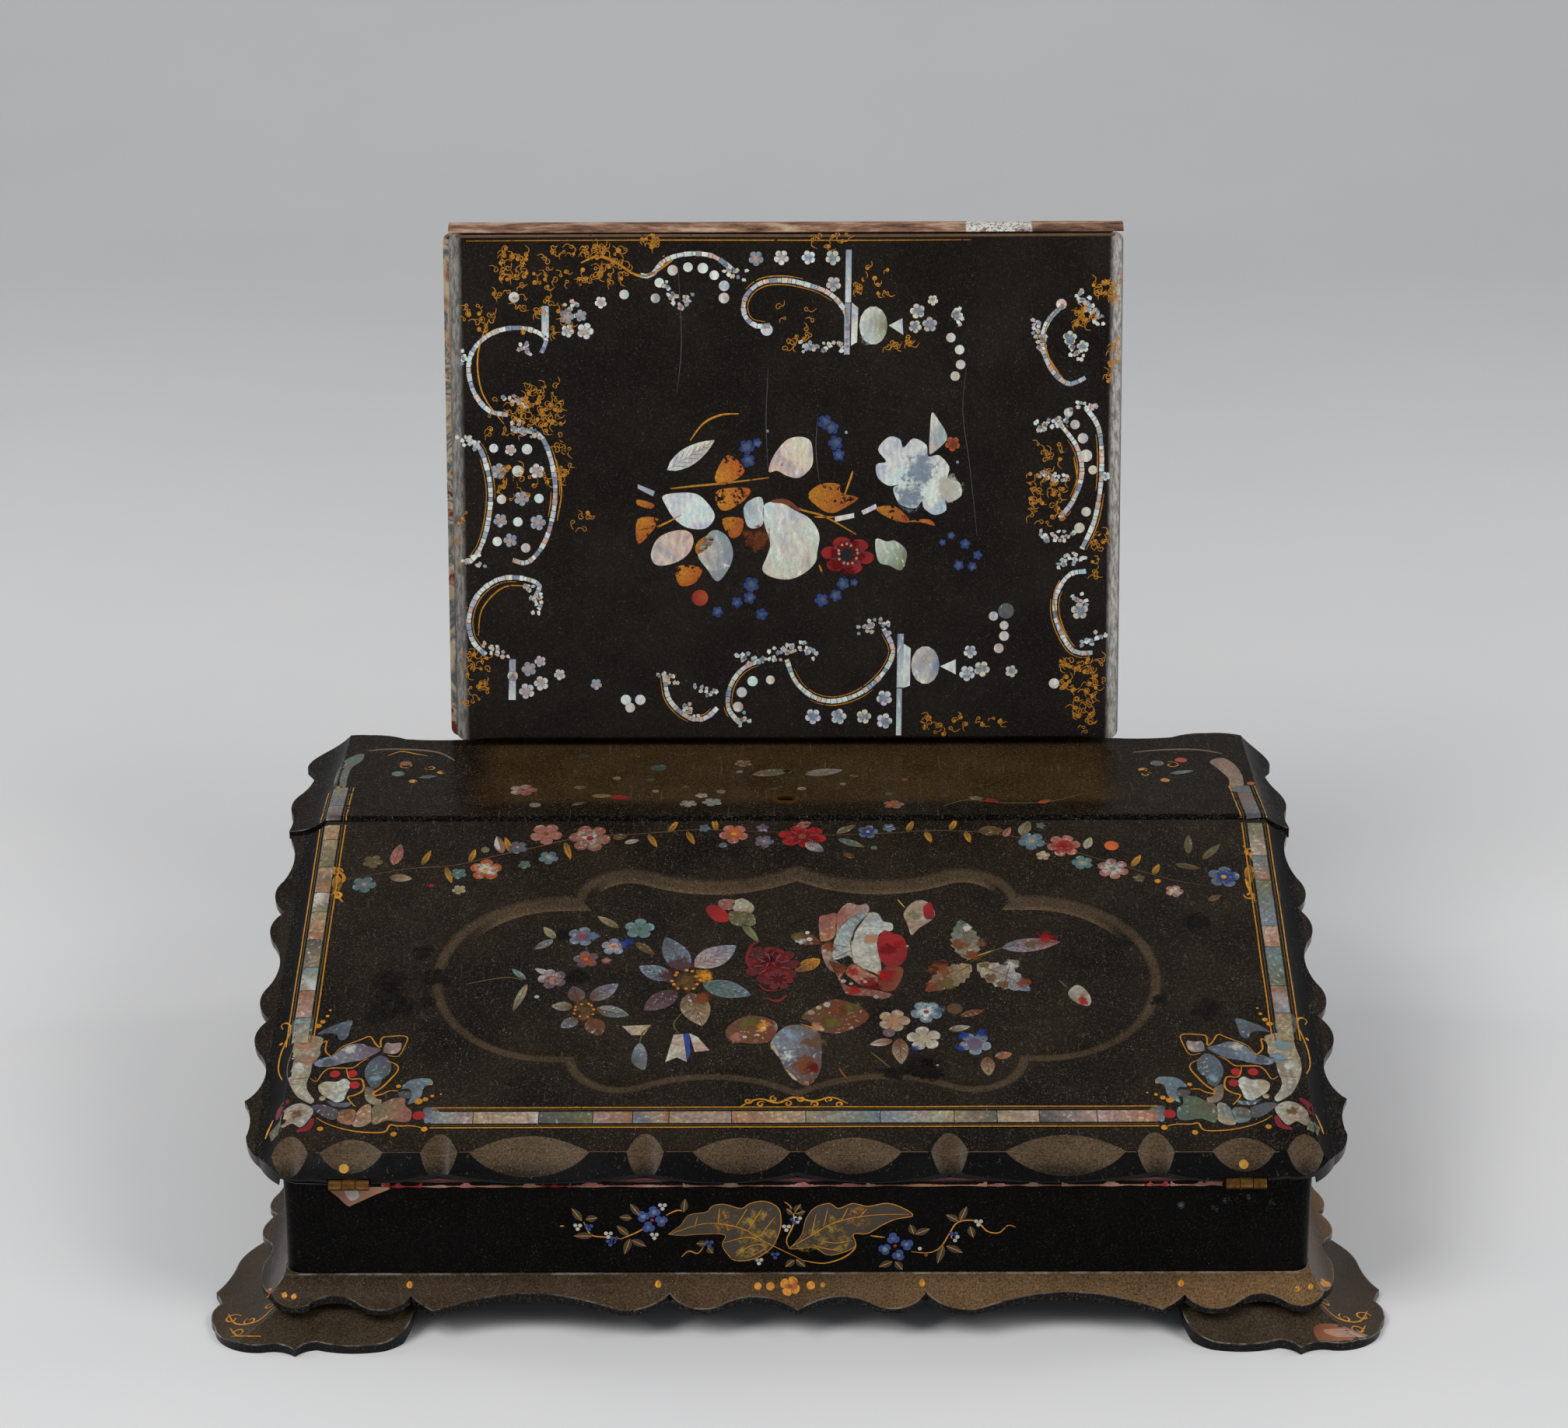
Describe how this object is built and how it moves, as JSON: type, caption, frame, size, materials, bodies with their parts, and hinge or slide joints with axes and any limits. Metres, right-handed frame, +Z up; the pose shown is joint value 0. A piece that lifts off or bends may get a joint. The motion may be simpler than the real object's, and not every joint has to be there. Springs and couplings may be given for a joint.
{
  "type": "writing slope",
  "caption": "Lacquered wedge-shaped writing slope with a hinged sloping leaf, flat rear flap, scalloped base and feet, fitted ink compartment and a leaning blotter folio.",
  "frame": {"origin": "middle of the whole set's bounding box, on the table plane under the feet", "axes": "+X to the viewer's right along the front, +Y from the hinged front edge towards the rear flap and folio, +Z up"},
  "size_m": [0.4172, 0.328, 0.3238],
  "materials": {
    "black_lacquer": "black japanned papier-mache, polished, worn at the edges",
    "brass": "aged brass",
    "glass": "clear pressed glass",
    "velvet": "crimson velvet",
    "blotting_paper": "matt blotting paper",
    "leather": "worn dark brown leather",
    "lining_wood": "stained softwood"
  },
  "bodies": {
    "case": {"case_shell": "black_lacquer", "base_skirt": "black_lacquer", "front_lining": "velvet", "compartment_divider": "lining_wood", "board_runners": "lining_wood", "tray_bearers": "lining_wood", "ink_tray": "lining_wood", "pen_tray": "lining_wood", "front_hinge_case_plates": "brass", "rear_hinge_case_plates": "brass", "foot_front_right": "black_lacquer", "foot_front_left": "black_lacquer", "foot_rear_right": "black_lacquer", "foot_rear_left": "black_lacquer", "inkwell_bottle_left": "glass", "inkwell_collar_left": "brass", "inkwell_bottle_right": "glass", "inkwell_collar_right": "brass"},
    "leaf": {"slope_leaf": "black_lacquer", "leaf_velvet": "velvet", "lock_staple": "brass", "front_hinge_leaf_plates": "brass"},
    "flap": {"rear_flap": "black_lacquer", "escutcheon": "brass", "lock_case": "brass", "rear_hinge_flap_plates": "brass"},
    "bolt": {"lock_bolt": "brass"},
    "inner_board": {"writing_board": "lining_wood", "board_velvet": "velvet"},
    "cap_left": {"inkwell_cap_left": "brass"},
    "cap_right": {"inkwell_cap_right": "brass"},
    "folio": {"folio_back_cover": "black_lacquer", "blotting_leaves": "blotting_paper", "folio_spine": "leather"},
    "folio_cover": {"folio_front_cover": "black_lacquer"}
  },
  "joints": [
    {"name": "leaf_hinge", "type": "hinge", "parent": "case", "child": "leaf", "pos_m": [0, -0.14585, 0.05783], "axis": [1, 0, 0], "range_deg": [0, 179]},
    {"name": "flap_hinge", "type": "hinge", "parent": "case", "child": "flap", "pos_m": [0, 0.11921, 0.11013], "axis": [-1, 0, 0], "range_deg": [0, 100]},
    {"name": "bolt_slide", "type": "slide", "parent": "flap", "child": "bolt", "axis": [0, -1, 0], "range_m": [0, 0.0096]},
    {"name": "board_hinge", "type": "hinge", "parent": "case", "child": "inner_board", "pos_m": [0, -0.13504, 0.06007], "axis": [1, 0, 0], "range_deg": [0, 72]},
    {"name": "cap_left_hinge", "type": "hinge", "parent": "case", "child": "cap_left", "pos_m": [-0.1485, 0.07921, 0.0947], "axis": [-1, 0, 0], "range_deg": [0, 100]},
    {"name": "cap_right_hinge", "type": "hinge", "parent": "case", "child": "cap_right", "pos_m": [0.1485, 0.07921, 0.0947], "axis": [-1, 0, 0], "range_deg": [0, 100]},
    {"name": "folio_lift", "type": "slide", "parent": "flap", "child": "folio", "axis": [0, 0.2079, 0.9781], "range_m": [0, 0.06]},
    {"name": "folio_cover_hinge", "type": "hinge", "parent": "folio", "child": "folio_cover", "pos_m": [-0.0034, 0.15003, 0.32118], "axis": [-1, 0, 0], "range_deg": [0, 175]}
  ],
  "couplings": [
    {"joint": "board_hinge", "follows": "leaf_hinge", "ratio": 0.4},
    {"joint": "cap_left_hinge", "follows": "flap_hinge", "ratio": 1},
    {"joint": "cap_right_hinge", "follows": "flap_hinge", "ratio": 1}
  ]
}
